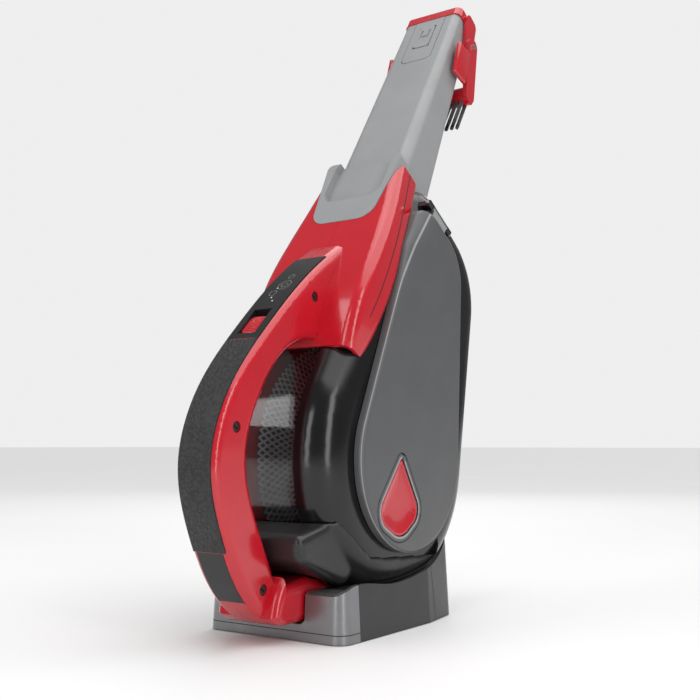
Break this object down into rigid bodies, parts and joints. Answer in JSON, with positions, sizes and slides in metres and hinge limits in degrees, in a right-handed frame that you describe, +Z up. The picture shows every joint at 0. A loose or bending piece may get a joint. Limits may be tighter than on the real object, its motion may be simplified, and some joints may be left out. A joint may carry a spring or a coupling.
{
  "type": "handheld vacuum",
  "caption": "Cordless handheld vacuum with a looped handle, clear side bowl, telescoping nozzle and flip brush, standing nose-up on a charging base.",
  "frame": {"origin": "centre of the charging base's footprint, at the level that the rubber feet stand on", "axes": "+Z up; +X across the tool, towards the dust-bowl door; -Y towards the handle, so the nozzle leans back towards +Y"},
  "size_m": [0.101, 0.2765, 0.4414],
  "materials": {
    "red_gloss": "gloss",
    "grey_satin": "satin",
    "dark_grey_satin": "satin",
    "black_gloss": "gloss",
    "black_satin": "satin",
    "grip_rubber": "matte",
    "smoked_clear": "gloss",
    "metallic_grey": "satin metallic",
    "charcoal": "satin",
    "steel": "satin",
    "dark_steel": "satin",
    "brass": "satin",
    "white_paper": "matte",
    "bristle": "matte",
    "cell_wrap": "satin",
    "board_green": "satin",
    "rubber_black": "matte"
  },
  "bodies": {
    "base": {"dock_shell": "charcoal", "dock_front": "metallic_grey", "dock_base": "charcoal", "dock_feet": "rubber_black", "dock_board": "board_green", "dock_contacts": "brass", "charger_jack": "black_satin", "dock_screws": "steel"},
    "vacuum": {"left_shell": "red_gloss", "right_shell": "red_gloss", "nozzle": "grey_satin", "air_duct": "black_satin", "dust_bowl": "smoked_clear", "bowl_bezel": "black_gloss", "door_pin": "steel", "motor_pod": "red_gloss", "exhaust_cover": "dark_grey_satin", "motor_collar": "grey_satin", "motor_can": "steel", "motor_magnets": "charcoal", "bearings": "steel", "prefilter_cage": "black_satin", "pleated_filter": "white_paper", "filter_seal": "rubber_black", "battery_cells": "cell_wrap", "battery_holder": "black_satin", "control_board": "board_green", "control_panel": "black_satin", "grip_pad": "grip_rubber", "lower_pad": "black_satin", "switch_module": "black_satin", "shell_screws": "dark_steel", "charge_contacts": "brass", "lower_case": "dark_grey_satin"},
    "door": {"side_panel": "dark_grey_satin", "door_seal": "rubber_black", "latch_spring": "steel"},
    "latch": {"door_latch": "red_gloss"},
    "switch": {"power_switch": "red_gloss"},
    "extension": {"extension_tube": "red_gloss", "thumb_plate": "grey_satin", "button_spring": "steel", "brush_pins": "steel"},
    "button": {"release_button": "grey_satin"},
    "brush": {"brush_carrier": "red_gloss", "bristles": "bristle"},
    "rotor": {"rotor_shaft": "steel", "armature": "steel", "impeller": "black_satin"}
  },
  "joints": [
    {"name": "lift_off", "type": "slide", "parent": "base", "child": "vacuum", "axis": [0, 0, 1], "range_m": [0, 0.12]},
    {"name": "power_slide", "type": "slide", "parent": "vacuum", "child": "switch", "axis": [0, 0.7133, 0.7009], "range_m": [0, 0.004]},
    {"name": "door_hinge", "type": "hinge", "parent": "vacuum", "child": "door", "pos_m": [0.043, 0.05372, 0.26138], "axis": [0, -0.848, 0.5299], "range_deg": [0, 95]},
    {"name": "latch_press", "type": "slide", "parent": "door", "child": "latch", "axis": [-1, 0, 0], "range_m": [0, 0.0015], "stiffness_N_per_m": 900, "deforming": ["latch_spring"]},
    {"name": "extension_slide", "type": "slide", "parent": "vacuum", "child": "extension", "axis": [0, 0.5299, 0.848], "range_m": [0, 0.09]},
    {"name": "button_press", "type": "slide", "parent": "extension", "child": "button", "axis": [0, 0.848, -0.5299], "range_m": [0, 0.0012], "stiffness_N_per_m": 900, "deforming": ["button_spring"]},
    {"name": "brush_flip", "type": "hinge", "parent": "extension", "child": "brush", "pos_m": [0, 0.13066, 0.40905], "axis": [1, 0, 0], "range_deg": [0, 175]},
    {"name": "rotor_spin", "type": "hinge", "parent": "vacuum", "child": "rotor", "pos_m": [0, 0.016, 0.101], "axis": [1, 0, 0], "continuous": true}
  ]
}
